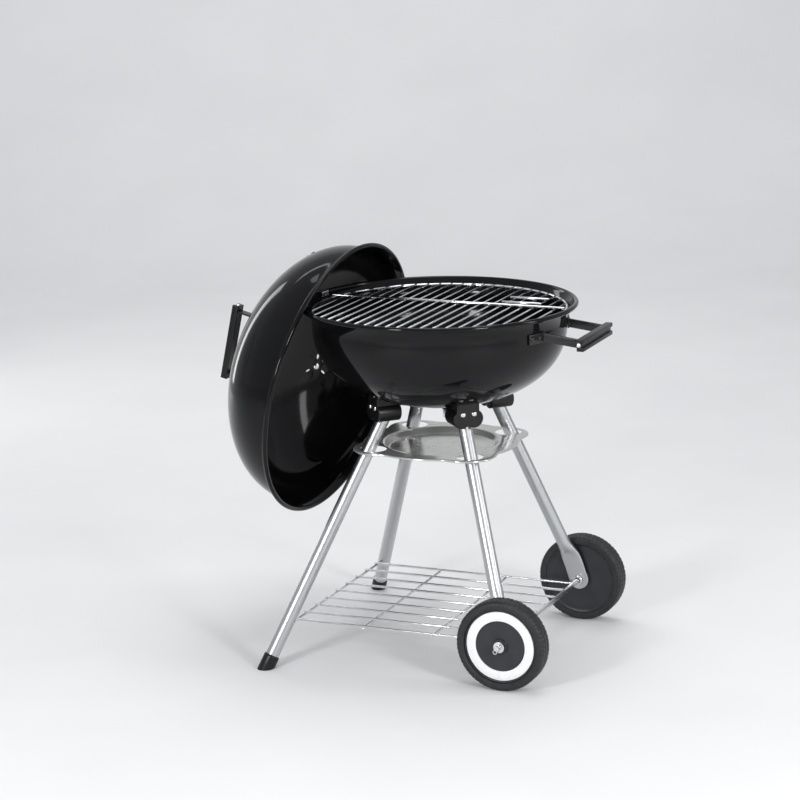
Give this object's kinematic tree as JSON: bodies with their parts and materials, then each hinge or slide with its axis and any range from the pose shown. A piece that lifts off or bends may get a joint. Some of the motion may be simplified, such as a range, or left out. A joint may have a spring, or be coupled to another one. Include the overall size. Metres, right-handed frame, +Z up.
{
  "type": "kettle charcoal grill",
  "caption": "Round black kettle charcoal grill on a four-leg wheeled cart, with a wire shelf, an ash plate and its domed lid hung on the bowl's side.",
  "frame": {"origin": "on the ground under the middle of the whole object's box, with the lid hung on the bowl", "axes": "+X towards the wheels and the bowl handle, -Y towards the front, +Z up"},
  "size_m": [0.683, 0.4914, 0.6581],
  "materials": {
    "black_enamel": "gloss vitreous enamel",
    "black_paint": "semi-gloss powder coat",
    "black_plastic": "satin moulded",
    "damper_aluminium": "satin pressed sheet",
    "zinc_fastener": "bright zinc plate",
    "chromed_wire": "chromed round wire",
    "leg_silver": "silver-grey metallic paint",
    "plate_steel": "bright rolled steel sheet",
    "wheel_rubber": "black moulded tread",
    "wheel_black": "satin black moulding",
    "wheel_white": "gloss white trim",
    "bush_nylon": "nylon"
  },
  "bodies": {
    "cart": {"bowl": "black_enamel", "bowl_damper_rivet": "zinc_fastener", "leg_lugs": "black_enamel", "charcoal_grate_tabs": "black_enamel", "cooking_grate_tabs": "black_enamel", "bowl_handle_grip": "black_plastic", "bowl_handle_front_arm": "black_paint", "bowl_handle_back_arm": "black_paint", "bowl_handle_screws": "zinc_fastener", "bowl_handle_rivets": "black_paint", "leg_front_left": "leg_silver", "leg_back_left": "leg_silver", "leg_front_right": "leg_silver", "leg_back_right": "leg_silver", "leg_socket_front_left": "black_plastic", "leg_socket_back_left": "black_plastic", "leg_socket_front_right": "black_plastic", "leg_socket_back_right": "black_plastic", "socket_bolts": "zinc_fastener", "socket_nuts": "zinc_fastener", "foot_cap_front": "black_plastic", "foot_cap_back": "black_plastic", "ash_plate": "plate_steel", "shelf": "chromed_wire", "axle": "zinc_fastener", "axle_washers": "zinc_fastener", "cotter_pins": "zinc_fastener"},
    "front_wheel": {"front_wheel_tyre": "wheel_rubber", "front_wheel_disc": "wheel_black", "front_wheel_ring": "wheel_white", "front_wheel_bush": "bush_nylon"},
    "back_wheel": {"back_wheel_tyre": "wheel_rubber", "back_wheel_disc": "wheel_black", "back_wheel_ring": "wheel_white", "back_wheel_bush": "bush_nylon"},
    "bowl_damper_disc": {"bowl_damper": "damper_aluminium"},
    "grate": {"cooking_grate": "chromed_wire"},
    "coal_grate": {"charcoal_grate": "chromed_wire"},
    "hung_lid": {"lid": "black_enamel", "lid_damper_rivet": "zinc_fastener", "lid_hook": "zinc_fastener", "lid_hook_rivets": "black_paint", "lid_handle_grip": "black_plastic", "lid_handle_upper_arm": "black_paint", "lid_handle_lower_arm": "black_paint", "lid_handle_screws": "zinc_fastener", "lid_handle_rivets": "black_paint"},
    "lid_damper_disc": {"lid_damper": "damper_aluminium"}
  },
  "joints": [
    {"name": "lid_lift_off", "type": "slide", "parent": "cart", "child": "hung_lid", "axis": [0, 0, 1], "range_m": [0, 0.15]},
    {"name": "lid_damper_turn", "type": "hinge", "parent": "hung_lid", "child": "lid_damper_disc", "pos_m": [-0.23125, 0.17227, 0.41037], "axis": [-0.8172, 0.5756, 0.0277], "range_deg": [-42, 18]},
    {"name": "bowl_damper_turn", "type": "hinge", "parent": "cart", "child": "bowl_damper_disc", "pos_m": [0.07176, 0, 0.4085], "axis": [0, 0, 1], "range_deg": [0, 60]},
    {"name": "cooking_grate_lift_out", "type": "slide", "parent": "cart", "child": "grate", "axis": [0, 0, 1], "range_m": [0, 0.015]},
    {"name": "charcoal_grate_lift_out", "type": "slide", "parent": "cart", "child": "coal_grate", "axis": [0, 0, 1], "range_m": [0, 0.07]},
    {"name": "front_wheel_spin", "type": "hinge", "parent": "cart", "child": "front_wheel", "pos_m": [0.24776, -0.1925, 0.073], "axis": [0, 1, 0], "continuous": true},
    {"name": "back_wheel_spin", "type": "hinge", "parent": "cart", "child": "back_wheel", "pos_m": [0.24776, 0.1925, 0.073], "axis": [0, 1, 0], "continuous": true}
  ]
}
